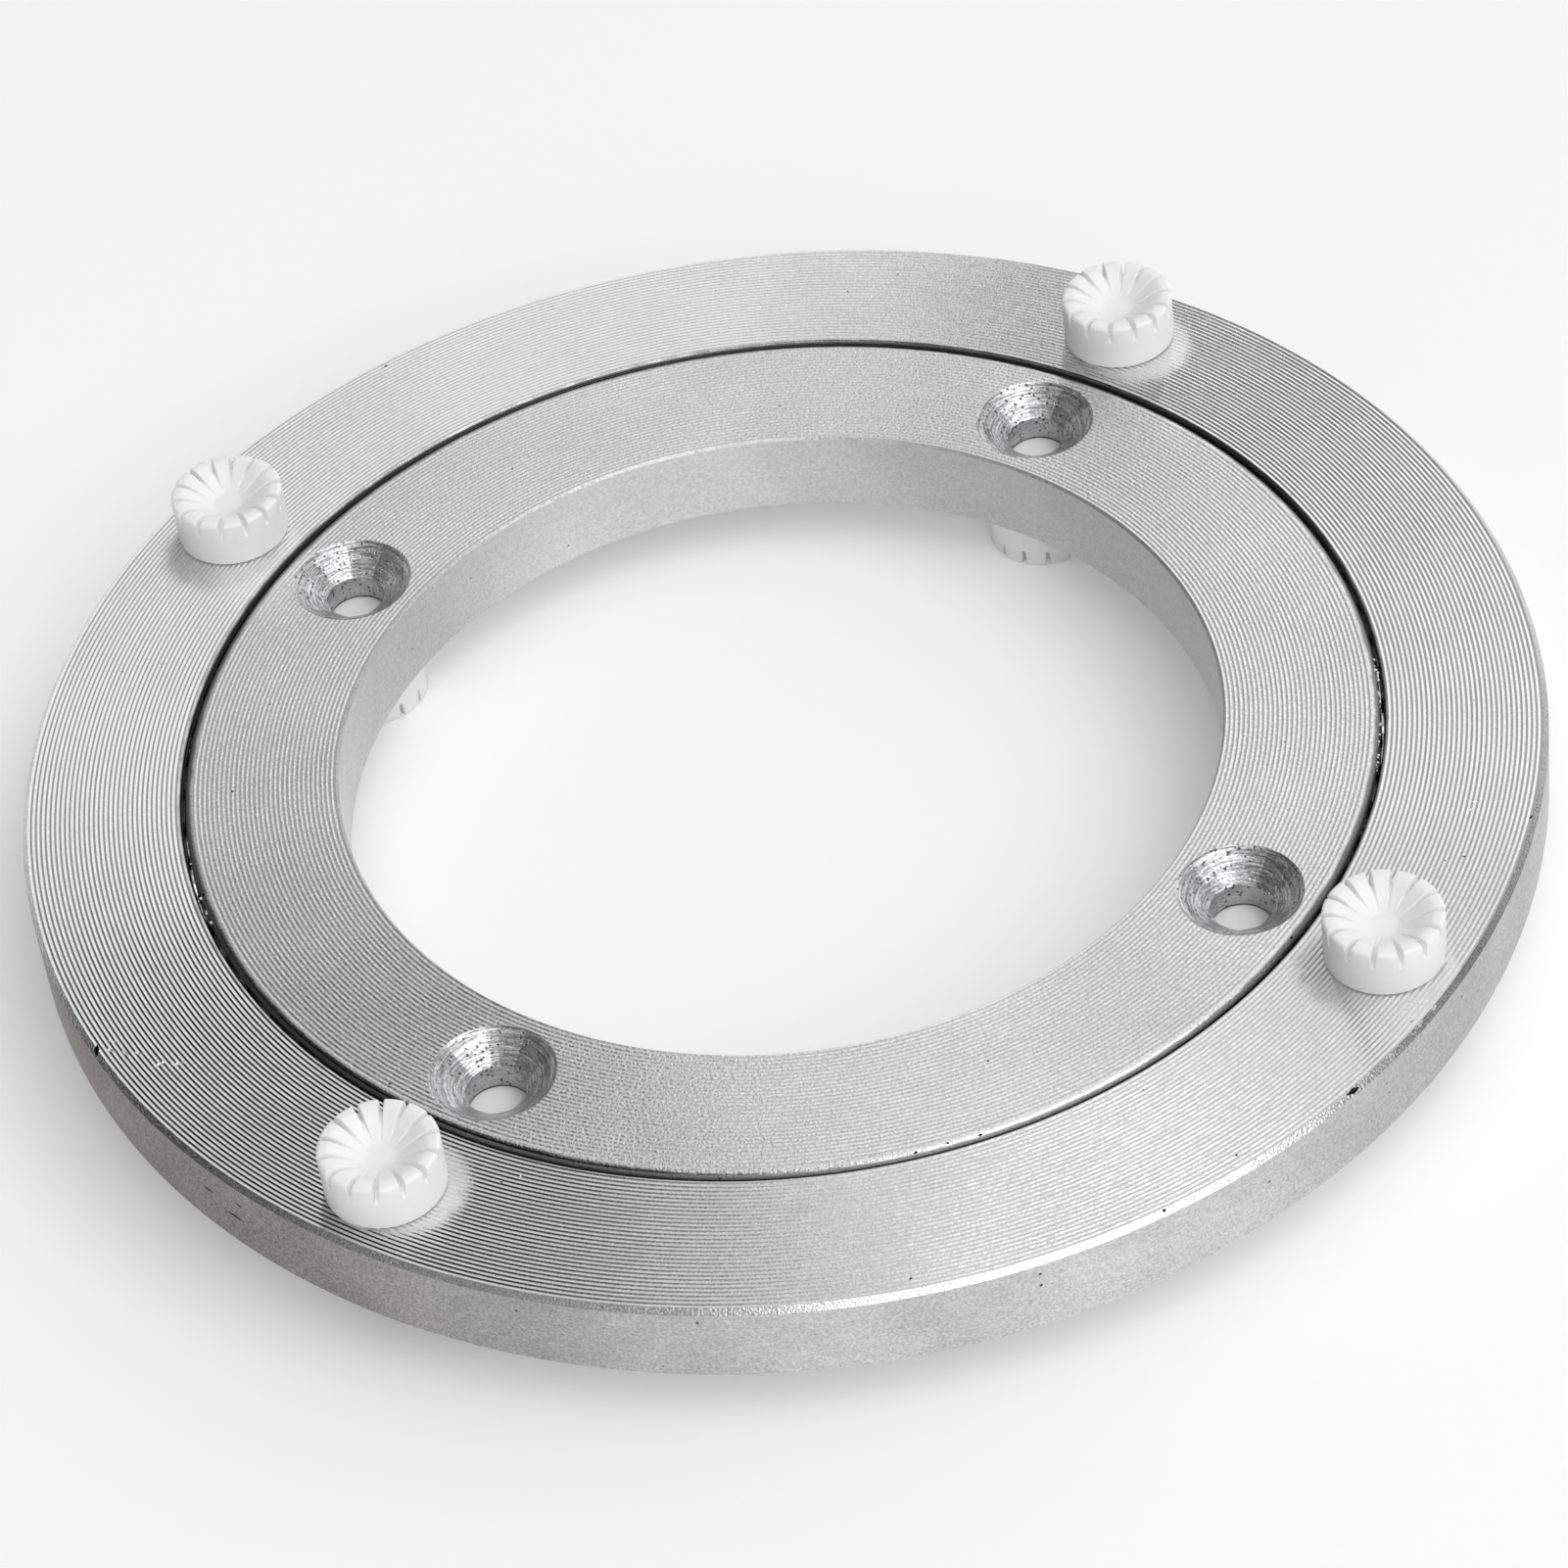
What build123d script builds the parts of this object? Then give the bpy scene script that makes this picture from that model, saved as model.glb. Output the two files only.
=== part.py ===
from build123d import *
import os
from itertools import product
from math import asin, atan2, cos, degrees, pi, radians, sin, sqrt, tan

# Flat turntable bearing: two turned rings, one inside the other, run on a full circle of balls.
# The inner ring is screwed to the base and stands on four moulded pads. The outer ring turns
# and carries what it supports on four more. Millimetres, +Z up. The origin is on the turning
# axis, in the plane that the lower pads stand on.

# Rings
bore_diameter = 81.4
inner_ring_width = 14.25
ring_gap = 0.3
outer_ring_width = 14.75
ring_thickness = 8.5
bore_chamfer = 0.4
lip_chamfer = 0.35
rim_chamfer = 0.5

# Balls, and the race that the two rings share
ball_diameter = 4.5
ball_spacing = 0.05
ball_clearance = 0.1
race_flank_angle = 30.0

# Countersunk screw holes, whose far ends are sockets for the pads
hole_count = 4
hole_diameter = 5.6
countersink_diameter = 11.4
countersink_depth = 2.25
socket_step = 0.2
socket_depth = 3.9

# Pads: a head of petals round a dish, on a stem that is pushed into the socket. The pads repeat, so
# their round walls are made of flats whose corners lie on the true surface, two to each petal's wall.
pad_diameter = 10.8
top_pad_height = 4.9
bottom_pad_height = 5.8
pad_land_width = 0.8
petal_count = 14
dish_depth = 1.6
dish_floor_diameter = 2.6
notch_width = 0.9
notch_depth = 1.75
stem_clearance = 0.05
stem_end_gap = 0.1

# Set screw that plugs the hole in the rim through which the balls are loaded
fill_clearance = 0.5
plug_clearance = 0.05
plug_inset = 0.4
plug_hexagon = 3.0
plug_hexagon_depth = 2.5

# Angles about the turning axis
inner_hole_angle = 45.0
outer_hole_angle = 43.9
first_ball_angle = 3.2

# How far a cutter stands out of the face that it cuts
cutter_margin = 1.0

# Places that follow from these sizes
bore_radius = bore_diameter / 2
inner_wall_radius = bore_radius + inner_ring_width
outer_wall_radius = inner_wall_radius + ring_gap
rim_radius = outer_wall_radius + outer_ring_width
inner_hole_circle = bore_radius + inner_ring_width / 2
outer_hole_circle = outer_wall_radius + outer_ring_width / 2
ring_bottom = bottom_pad_height
ring_middle = ring_bottom + ring_thickness / 2
ring_top = ring_bottom + ring_thickness
race_radius = inner_wall_radius + ring_gap / 2
race_reach = ball_diameter / 2 + ball_clearance
ball_count = int(pi / asin((ball_diameter + ball_spacing) / (2 * race_radius)))
socket_radius = hole_diameter / 2 + socket_step
fill_radius = (ball_diameter + fill_clearance) / 2
hole_pitch = 360 / hole_count


def turned(outline):
    """Solid turned about Z from a closed outline of (radius, height) points."""
    return revolve(Plane.XZ * make_face(Polyline(*outline, close=True)), Axis.Z)


def race_half_height(radius):
    """Half the height of the race at a radius: its flanks pass the balls at their clearance."""
    flank = radians(race_flank_angle)
    return race_reach / cos(flank) - abs(radius - race_radius) * tan(flank)


def ring(wall_radius, far_radius, far_chamfer):
    """Ring with chamfered edges, and half of the race in the wall that faces the other ring."""
    side = 1 if far_radius > wall_radius else -1
    floor_radius = race_radius + side * race_reach
    face = ring_thickness / 2
    upper = [
        (floor_radius, race_half_height(floor_radius)),
        (wall_radius, race_half_height(wall_radius)),
        (wall_radius, face - lip_chamfer),
        (wall_radius + side * lip_chamfer, face),
        (far_radius - side * far_chamfer, face),
        (far_radius, face - far_chamfer),
    ]
    lower = [(radius, -height) for radius, height in reversed(upper)]
    return Pos(0, 0, ring_middle) * turned(upper + lower)


def hole_cutter():
    """Countersunk hole, going down from a face at height 0 to the socket in the opposite face."""
    socket_top = socket_depth - ring_thickness
    return turned(
        [
            (0, cutter_margin),
            (countersink_diameter / 2, cutter_margin),
            (countersink_diameter / 2, 0),
            (hole_diameter / 2, -countersink_depth),
            (hole_diameter / 2, socket_top),
            (socket_radius, socket_top),
            (socket_radius, -ring_thickness - cutter_margin),
            (0, -ring_thickness - cutter_margin),
        ]
    )


def notch_cutter(crown_height):
    """V-shaped notch along +X: it starts at the dish floor's edge and deepens towards the rim."""
    length = (pad_diameter - dish_floor_diameter) / 2
    height = 2 * notch_depth
    half_width = height * notch_width / notch_depth / 2
    section = Plane.YZ * make_face(
        Polyline((0, 0), (half_width, height), (-half_width, height), close=True)
    )
    dip = degrees(atan2(notch_depth - dish_depth, length))
    start = Pos(dish_floor_diameter / 2, 0, crown_height - dish_depth)
    return start * Rot(0, dip, 0) * extrude(section, length + cutter_margin)


def petal_corners(radius, height):
    """Corners of the petals at a radius and height, on the notches' angles."""
    turns = [2 * pi * petal / petal_count for petal in range(petal_count)]
    return [(radius * cos(turn), radius * sin(turn), height) for turn in turns]


def pad(crown_height):
    """Pad with its head standing up from height 0 and its stem below."""
    stem_length = socket_depth - stem_end_gap
    head = extrude(RegularPolygon(pad_diameter / 2, 2 * petal_count), crown_height)
    stem = extrude(RegularPolygon(socket_radius - stem_clearance, petal_count), -stem_length)
    dish = ConvexPolyhedron(
        petal_corners(dish_floor_diameter / 2, crown_height - dish_depth)
        + petal_corners(pad_diameter / 2 - pad_land_width, crown_height)
    )
    notches = [place * notch_cutter(crown_height) for place in PolarLocations(0, petal_count)]
    return head + stem - dish - notches


def ball():
    """Ball kept to 20 flat faces, with all its corners on the true ball's surface."""
    golden = (1 + sqrt(5)) / 2
    short = ball_diameter / 2 / sqrt(1 + golden**2)
    long = golden * short
    corners = []
    for a, b in product((-1, 1), repeat=2):
        corners += [(0, a * short, b * long), (a * short, b * long, 0), (b * long, 0, a * short)]
    return ConvexPolyhedron(corners)


def along_fill_hole(outline, start, end):
    """Bar of an outline along the loading hole, between two distances from the turning axis."""
    outwards = Rot(0, 0, outer_hole_angle + hole_pitch / 2) * Rot(0, 90, 0)
    return Pos(0, 0, ring_middle) * outwards * Pos(0, 0, start) * extrude(outline, end - start)


def filling_plug():
    """Set screw that ends level with the race's floor, with a hexagon socket in its outer face."""
    face = rim_radius - plug_inset
    hexagon = RegularPolygon(plug_hexagon / 2, 6, major_radius=False)
    screw = along_fill_hole(Circle(fill_radius - plug_clearance), race_radius + race_reach, face)
    return screw - along_fill_hole(hexagon, face - plug_hexagon_depth, face)


inner_places = PolarLocations(inner_hole_circle, hole_count, inner_hole_angle)
outer_places = PolarLocations(outer_hole_circle, hole_count, outer_hole_angle)
turned_over = Rot(180, 0, 0)

inner_ring = ring(inner_wall_radius, bore_radius, bore_chamfer)
inner_ring -= [Pos(0, 0, ring_top) * place * hole_cutter() for place in inner_places]

outer_ring = ring(outer_wall_radius, rim_radius, rim_chamfer)
outer_ring -= [Pos(0, 0, ring_bottom) * place * turned_over * hole_cutter() for place in outer_places]
outer_ring -= along_fill_hole(Circle(fill_radius), race_radius, rim_radius + cutter_margin)

one_ball = ball()
ball_places = PolarLocations(race_radius, ball_count, first_ball_angle)

nodes = {
    "inner_ring": inner_ring,
    "outer_ring": outer_ring,
    "bearing_balls": Compound(children=[Pos(0, 0, ring_middle) * place * one_ball for place in ball_places]),
    "filling_plug": filling_plug(),
}
bottom_pad = pad(bottom_pad_height)
top_pad = pad(top_pad_height)
for number, place in enumerate(inner_places, start=1):
    nodes[f"bottom_pad_{number}"] = Pos(0, 0, ring_bottom) * place * turned_over * bottom_pad
for number, place in enumerate(outer_places, start=1):
    nodes[f"top_pad_{number}"] = Pos(0, 0, ring_top) * place * top_pad

os.makedirs("parts", exist_ok=True)
for name, shape in nodes.items():
    export_step(shape, f"parts/{name}.step")
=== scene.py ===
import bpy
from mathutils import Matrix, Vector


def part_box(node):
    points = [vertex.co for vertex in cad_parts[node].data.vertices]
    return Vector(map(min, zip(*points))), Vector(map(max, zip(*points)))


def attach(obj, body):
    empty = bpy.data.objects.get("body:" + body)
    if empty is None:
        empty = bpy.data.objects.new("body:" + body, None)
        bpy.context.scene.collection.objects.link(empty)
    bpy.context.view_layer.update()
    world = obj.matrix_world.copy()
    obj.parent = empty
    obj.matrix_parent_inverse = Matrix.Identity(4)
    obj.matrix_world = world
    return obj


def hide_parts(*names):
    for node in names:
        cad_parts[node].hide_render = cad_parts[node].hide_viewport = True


bl_info = {
    "name": "Turntable Bearing",
    "version": (1, 0, 0),
    "blender": (4, 5, 0),
    "location": "3D View > Sidebar > Bearing",
    "description": "Dresses the packed turntable bearing with its turned rings, balls, pads and plug",
    "category": "Object",
}

import random
from functools import partialmethod
from itertools import product
from math import atan, atan2, cos, pi, radians, sin, sqrt

import bmesh
import bpy
from bpy.props import FloatProperty, FloatVectorProperty, IntProperty, PointerProperty
from mathutils import Matrix, Vector

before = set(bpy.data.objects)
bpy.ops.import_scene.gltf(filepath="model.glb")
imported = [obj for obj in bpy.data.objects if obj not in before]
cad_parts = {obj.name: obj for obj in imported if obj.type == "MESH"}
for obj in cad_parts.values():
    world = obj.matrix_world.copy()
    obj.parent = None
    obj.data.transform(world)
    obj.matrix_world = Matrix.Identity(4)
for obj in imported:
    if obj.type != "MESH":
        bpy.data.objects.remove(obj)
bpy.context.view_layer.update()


def reach(node):
    """Least and greatest radius, and least and greatest height, of a CAD node."""
    points = [vertex.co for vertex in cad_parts[node].data.vertices]
    radii = [point.xy.length for point in points]
    heights = [point.z for point in points]
    return min(radii), max(radii), min(heights), max(heights)


def centre(node):
    """Middle of a CAD node's box."""
    low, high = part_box(node)
    return (low + high) / 2


MM = 0.001

# Places that the CAD gives
BORE, INNER_WALL, RING_BOTTOM, RING_TOP = reach("inner_ring")
OUTER_WALL, RIM = reach("outer_ring")[:2]
RING_MIDDLE = (RING_BOTTOM + RING_TOP) / 2
HALF_THICKNESS = (RING_TOP - RING_BOTTOM) / 2
RACE_RADIUS = (INNER_WALL + OUTER_WALL) / 2
TOP_PAD = centre("top_pad_1")
BOTTOM_PAD = centre("bottom_pad_1")
PLUG = centre("filling_plug")
PLUG_ANGLE = atan2(PLUG.y, PLUG.x)
PLUG_END, PLUG_FACE = reach("filling_plug")[:2]
PLUG_RADIUS = (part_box("filling_plug")[1].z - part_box("filling_plug")[0].z) / 2

# Steps in the ring's section, and where a turning line bends between its two edges
RACE_STEPS = 14
LIP_STEPS = 6
OUTER_BENDS = (0, 0.37, 0.5)
INNER_BENDS = (0, 0.4, 0.6)

# Slack for rounding where a ring's points are told apart: on a face, across a line, and in the race
FACE_SLACK = 1e-6
LINE_SLACK = 1e-4
RACE_SLACK = 1e-5

# Tools that cut the rings: how far they stand out, and the torn rings and broad facets of a countersink
TOOL_CLEARANCE = 1.0 * MM
HOLE_SEED = 7
HOLE_SPIN = radians(86)
HOLE_RINGS = 13
HOLE_FACETS = 9
FACET_STEPS = 14
FACET_FLATNESS = 0.45
RING_WAVE = 0.04
TEAR = 0.012
LOADING_HOLE_STEPS = 56

# Marks in the rings: angle, radius, depth below the top face, slant from the radius, then the mark's own
# length, width and depth, in degrees and millimetres
INNER_NICKS = (
    (183.7, 54.6, 0.15, 80, 0.6, 0.3, 0.25),
    (268.7, 54.6, 0.15, 95, 0.5, 0.3, 0.22),
    (271.7, 54.5, 0.1, 70, 0.4, 0.25, 0.2),
    (274.7, 54.6, 0.15, 85, 0.6, 0.3, 0.22),
    (311.7, 54.6, 0.15, 90, 0.5, 0.3, 0.22),
)
OUTER_NICKS = (
    (196.4, 69.6, 0.15, 60, 1.7, 0.7, 0.6),
    (211.0, 70.0, 3.4, 90, 1.8, 0.16, 0.16),
    (213.6, 70.0, 4.6, 90, 2.8, 0.18, 0.18),
    (214.4, 70.0, 2.6, 90, 1.2, 0.16, 0.14),
    (301.0, 69.7, 0.15, 84, 1.8, 0.6, 0.5),
    (284.0, 69.6, 0.2, 85, 0.6, 0.35, 0.3),
    (331.0, 69.4, 0.0, 60, 0.8, 0.3, 0.15),
    (290.9, 68.2, 0.0, 0, 0.34, 0.3, 0.2),
    (289.4, 57.25, 0.0, 0, 0.34, 0.3, 0.2),
)
OUTER_SCRAPES = (
    (197.0, 68.6, 0.0, 132, 1.6, 0.5, 0.13),
    (198.0, 67.6, 0.0, 112, 1.6, 0.5, 0.13),
    (198.6, 66.7, 0.0, 127, 1.4, 0.45, 0.13),
    (200.6, 65.8, 0.0, 176, 1.7, 0.5, 0.13),
    (201.5, 64.6, 0.0, 159, 1.5, 0.45, 0.13),
    (196.35, 67.95, 0.0, 134, 1.3, 0.4, 0.12),
    (305.1, 69.6, 0.1, 80, 0.9, 0.5, 0.35),
    (308.7, 69.6, 0.1, 95, 1.4, 0.55, 0.4),
    (310.6, 69.6, 0.1, 88, 1.0, 0.5, 0.35),
    (332.0, 64.35, 0.0, 15, 1.1, 0.35, 0.1),
    (331.0, 64.0, 0.0, 60, 0.8, 0.35, 0.1),
)

# Where the painted shade along the gap is thinner, and the side where the rim has its painted brownish shade
THIN_SHADE_SIDE = radians(276)
SHADED_SIDE = radians(196)

# Pale grease beads in the gap, whose pale colour paints its glints: name, count, first and last angle in
# degrees, seed
BEAD_RUNS = (
    ("grease_beads_right", 44, 334.5, 350.5, 3),
    ("grease_beads_left", 9, 177.5, 188.0, 11),
)

# Pads: columns across one half of a petal, rows from the dish down to the stem's end, the height that the
# wall's rows go down to, the roundings below it, and each pad's spin in degrees
PETAL_SHARES = (0.0, 0.07, 0.11, 0.123, 0.14, 0.165, 0.2, 0.245, 0.3, 0.37, 0.5, 0.72, 1.0)
DISH_ROWS = 18
EDGE_ROWS = 6
STEM_BEND_ROWS = 3
WALL_SHARES = (0.35, 0.7, 1.0)
WALL_BASE = 0.35 * MM
FOOT = 0.15 * MM
STEM_BEND = 0.3 * MM
TOP_SPINS = (15.0, 22.6, 24.9, 10.7)
BOTTOM_SPINS = (2.0, 9.0, 20.0, 14.0)

BALL_SEGMENTS = 24
BALL_RINGS = 14
PLUG_STEPS = 36

# Edges that turn by more than these angles stay sharp
ROUND_EDGE = radians(60)
PAD_EDGE = radians(38)
PLUG_EDGE = radians(30)

# The studio's base level, then its soft patches: azimuth, elevation, how far from its middle a patch is full
# and how far it has faded, in degrees, and its level
STUDIO_LEVEL = 0.34
STUDIO_PATCHES = (
    (62, 24, 18, 40, 1.2),
    (72, 15, 8, 18, 1.35),
    (102, 28, 10, 28, 0.46),
    (88, 24, 6, 14, 0.78),
    (90, 6, 5, 13, 0.66),
    (72, 67, 10, 20, 1.08),
    (20, 68, 12, 30, 0.98),
    (262, 10, 12, 34, 0.9),
    (158, 52, 17, 31, 0.03),
    (168, 20, 16, 34, 0.1),
)
FLOOR_HALF = 1.5
KEY_AZIMUTH = radians(-56)
KEY_ELEVATION = radians(52)


def mm_size(name, description, millimetres):
    """A size that a user may change, in metres."""
    return FloatProperty(
        name=name, description=description, default=millimetres * MM, min=0.0, precision=5, unit="LENGTH"
    )


def angle_property(name, description, degrees):
    """An angle that a user may change."""
    return FloatProperty(name=name, description=description, default=radians(degrees), unit="ROTATION")


def colour_property(name, description, red, green, blue):
    """A colour that a user may change."""
    return FloatVectorProperty(
        name=name, description=description, default=(red, green, blue), min=0.0, max=1.0, subtype="COLOR"
    )


class RingSettings(bpy.types.PropertyGroup):
    """Sizes and colours of the two turned rings."""

    segments: IntProperty(name="Segments", description="Steps round each ring", default=300, min=32)
    outer_pitch: mm_size("Outer line pitch", "Spacing of the outer ring's turning lines", 0.452)
    outer_depth: mm_size("Outer line depth", "Depth of the outer ring's turning lines", 0.062)
    inner_pitch: mm_size("Inner line pitch", "Spacing of the inner ring's turning lines", 0.435)
    inner_depth: mm_size("Inner line depth", "Depth of the inner ring's turning lines", 0.031)
    bore_chamfer: mm_size("Bore chamfer", "Chamfer on the edges of the bore", 0.25)
    inner_lip: mm_size("Inner lip", "How far the inner ring's lip is rounded off", 0.9)
    outer_lip: mm_size("Outer lip", "How far the outer ring's lip is rounded off", 0.4)
    lip_drop: mm_size("Lip drop", "Height of the rounding on both lips", 0.5)
    rim_chamfer: mm_size("Rim chamfer", "Chamfer on the edges of the rim", 0.5)
    race_reach: mm_size("Race radius", "Radius of the round race in each ring", 2.35)
    hole_radius: mm_size("Hole radius", "Radius of the screw holes", 2.8)
    sink_radius: mm_size("Countersink radius", "Radius of the countersinks", 5.7)
    sink_depth: mm_size("Countersink depth", "Depth of the countersinks", 2.25)
    socket_radius: mm_size("Socket radius", "Radius of the sockets for the pads", 3.0)
    socket_depth: mm_size("Socket depth", "Depth of the sockets for the pads", 3.9)
    fill_radius: mm_size("Loading hole radius", "Radius of the hole that the plug closes", 2.5)
    aluminium: colour_property("Aluminium", "Colour of the satin aluminium", 0.78, 0.78, 0.785)
    cut_metal: colour_property("Cut metal", "Colour of the bare metal in the countersinks", 0.72, 0.72, 0.73)
    # Nearly black: the grease, with the shade deep in the gap painted into it
    grease: colour_property("Grease", "Colour of the greased race", 0.018, 0.017, 0.016)


class PadSettings(bpy.types.PropertyGroup):
    """Sizes and colours of the moulded pads."""

    petals: IntProperty(name="Petals", description="Petals round each pad", default=14, min=3)
    radius: mm_size("Radius", "Radius of the head", 5.35)
    edge: mm_size("Edge", "Rounding of the petals' tips", 0.36)
    land: mm_size("Land", "From the rim to where the petals start down into the dish", 0.95)
    dish_depth: mm_size("Dish depth", "Depth of the dish below the petals", 1.6)
    dish_floor: mm_size("Dish floor", "Radius of the flat floor of the dish", 1.3)
    notch_depth: mm_size("Notch depth", "Depth of the notches at the rim", 1.75)
    notch_half: mm_size("Notch half width", "Half the width of a notch's floor at the rim", 0.19)
    shoulder: mm_size("Shoulder", "Rounding of the petals beside a notch, at the rim", 0.15)
    stem_radius: mm_size("Stem radius", "Radius of the stem in its socket", 2.95)
    stem_length: mm_size("Stem length", "Length of the stem", 3.8)
    plastic: colour_property("Plastic", "Colour of the moulded plastic", 0.9, 0.9, 0.905)


class BallSettings(bpy.types.PropertyGroup):
    """The circle of balls."""

    count: IntProperty(name="Count", description="Balls in the circle", default=76, min=3)
    radius: mm_size("Radius", "Radius of a ball", 2.25)
    first_angle: angle_property("First angle", "Angle of the first ball", 3.2)
    steel: colour_property("Steel", "Colour of the balls", 0.62, 0.62, 0.63)


class PlugSettings(bpy.types.PropertyGroup):
    """The set screw in the rim."""

    hexagon: mm_size("Hexagon", "Width across the flats of the socket", 3.0)
    hexagon_depth: mm_size("Hexagon depth", "Depth of the socket", 2.5)
    chamfer: mm_size("Chamfer", "Chamfer on the end of the screw", 0.4)
    steel: colour_property("Steel", "Colour of the screw", 0.42, 0.42, 0.43)


class StageSettings(bpy.types.PropertyGroup):
    """Floor, lights and camera."""

    turn: angle_property("Turn", "Turn of the whole set about the part", -8.3)
    elevation: angle_property("Elevation", "Height of the camera's view above the floor", 43.731)
    roll: angle_property("Roll", "Roll of the camera", -7.769)
    distance: mm_size("Distance", "From the camera to the rings' top face", 513.01)
    slide: FloatVectorProperty(
        name="Slide",
        description="How far the camera stands right of and above the part's middle",
        default=(0.000519, -0.005105),
        size=2,
        subtype="TRANSLATION",
    )
    lens: FloatProperty(name="Lens", description="Focal length in millimetres", default=128.47, min=1.0)
    floor: colour_property("Floor", "Colour of the floor", 0.88, 0.88, 0.88)
    glow: FloatProperty(name="Glow", description="Share of the floor's white that shadows leave", default=0.15)


class Value:
    """What a socket puts out. A sign between two values is a Math node."""

    def __init__(self, socket):
        self.socket = socket
        self.tree = socket.id_data

    def maths(self, operation, *others):
        return add(self.tree, "ShaderNodeMath", enumerate((self, *others)), operation=operation)[0]

    __add__ = partialmethod(maths, "ADD")
    __sub__ = partialmethod(maths, "SUBTRACT")
    __mul__ = partialmethod(maths, "MULTIPLY")
    __truediv__ = partialmethod(maths, "DIVIDE")
    __lt__ = partialmethod(maths, "LESS_THAN")
    __gt__ = partialmethod(maths, "GREATER_THAN")
    __abs__ = partialmethod(maths, "ABSOLUTE")


class Outputs:
    """What a node puts out, by name or number."""

    def __init__(self, node):
        self.node = node

    def __getitem__(self, key):
        return Value(self.node.outputs[key])


def put(node, inputs):
    """Sets or links a node's inputs."""
    for socket, value in dict(inputs).items():
        if isinstance(value, Value):
            value.tree.links.new(value.socket, node.inputs[socket])
        else:
            node.inputs[socket].default_value = value


def add(tree, kind, inputs=(), **settings):
    """New node in a tree, with its settings, and its inputs set or linked."""
    node = tree.nodes.new(kind)
    for name, value in settings.items():
        setattr(node, name, value)
    put(node, inputs)
    return Outputs(node)


def mapped(value, low, high, least=0.0, greatest=1.0, **settings):
    """A value moved from one range to another, and kept inside it."""
    inputs = {"Value": value, "From Min": low, "From Max": high, "To Min": least, "To Max": greatest}
    return add(value.tree, "ShaderNodeMapRange", inputs, **settings)[0]


def joined(tree, **parts):
    """Vector from its X, Y and Z, which are 0 where they aren't given."""
    return add(tree, "ShaderNodeCombineXYZ", parts)[0]


def parted(vector):
    """A vector's X, Y and Z."""
    return add(vector.tree, "ShaderNodeSeparateXYZ", {0: vector})


def polar(place):
    """A place's distance from the Z axis, then its X, Y and Z."""
    x, y, z = parted(place)
    return (x * x + y * y).maths("SQRT"), x, y, z


def direction(azimuth, elevation=0.0):
    """Unit vector to a place in the studio."""
    return Vector((cos(elevation) * cos(azimuth), cos(elevation) * sin(azimuth), sin(elevation)))


def towards(vector, aim):
    """Length of a vector along an aim."""
    return add(vector.tree, "ShaderNodeVectorMath", {0: vector, 1: aim}, operation="DOT_PRODUCT")["Value"]


def noise(place, scale, detail, roughness=0.5):
    """Value of a noise texture."""
    inputs = {"Vector": place, "Scale": scale, "Detail": detail, "Roughness": roughness}
    return add(place.tree, "ShaderNodeTexNoise", inputs)[0]


def new_group(name, kind, inputs, outputs):
    """Node tree with its sockets, whose names are listed by kind, and what its input node puts out."""
    tree = bpy.data.node_groups.new(name, kind)
    for in_out, listed in (("INPUT", inputs), ("OUTPUT", outputs)):
        for socket_kind, names in listed.items():
            for socket in names.split(", "):
                tree.interface.new_socket(name=socket, in_out=in_out, socket_type="NodeSocket" + socket_kind)
    return tree, add(tree, "NodeGroupInput")


def give(tree, results):
    """Ends a node tree with its results."""
    add(tree, "NodeGroupOutput", results)
    return tree


def new_piece(name, mesh=None):
    """Object at the origin, in the scene."""
    thing = bpy.data.objects.new(name, mesh or bpy.data.meshes.new(name))
    bpy.context.scene.collection.objects.link(thing)
    return thing


def grow(thing, tree, values):
    """Gives a piece a Geometry Nodes tree, with its named inputs."""
    modifier = thing.modifiers.new(tree.name, "NODES")
    modifier.node_group = tree
    for item in tree.interface.items_tree:
        key = item.name.lower().replace(" ", "_")
        if item.in_out == "INPUT" and key in values:
            modifier[item.identifier] = values[key]


def made_mesh(thing):
    """Turns a piece's modifiers into a plain mesh, and takes the modifiers off it."""
    graph = bpy.context.evaluated_depsgraph_get()
    mesh = bpy.data.meshes.new_from_object(thing.evaluated_get(graph), depsgraph=graph)
    if not mesh.polygons:
        raise RuntimeError(f"{thing.name} came out with no faces")
    thing.modifiers.clear()
    thing.data = mesh
    mesh.name = thing.name


def smooth(mesh, sharp_angle):
    """Smooth shading, with edges kept sharp above an angle."""
    mesh.polygons.foreach_set("use_smooth", [True] * len(mesh.polygons))
    mesh.set_sharp_from_angle(angle=sharp_angle)


def grown(name, mesh, tree, sharp_angle, **values):
    """Piece that a Geometry Nodes tree makes, as a plain mesh."""
    thing = new_piece(name, mesh)
    grow(thing, tree, values)
    made_mesh(thing)
    smooth(thing.data, sharp_angle)
    return thing


def outward(mesh):
    """Merges doubled points and points the faces outwards."""
    work = bmesh.new()
    work.from_mesh(mesh)
    bmesh.ops.remove_doubles(work, verts=work.verts, dist=1e-7)
    bmesh.ops.recalc_face_normals(work, faces=work.faces)
    work.to_mesh(mesh)
    work.free()


def skin(work, rows):
    """Joins rows of points into faces. A row of one point closes an end."""
    around = max(len(row) for row in rows)
    for upper, lower in zip(rows, rows[1:]):
        for step in range(around):
            after = (step + 1) % around
            corners = [upper[step % len(upper)], upper[after % len(upper)]]
            corners += [lower[after % len(lower)], lower[step % len(lower)]]
            work.faces.new(list(dict.fromkeys(corners)))


def point_at(work, place, radius, turn, height):
    """New point at a radius, angle and height of a place."""
    return work.verts.new(place @ Vector((radius * cos(turn), radius * sin(turn), height)))


def circle_row(work, place, radius, height, segments):
    """Points round a circle, or one point where the radius is 0."""
    turns = [2 * pi * step / segments for step in range(segments if radius else 1)]
    return [point_at(work, place, radius, turn, height) for turn in turns]


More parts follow.
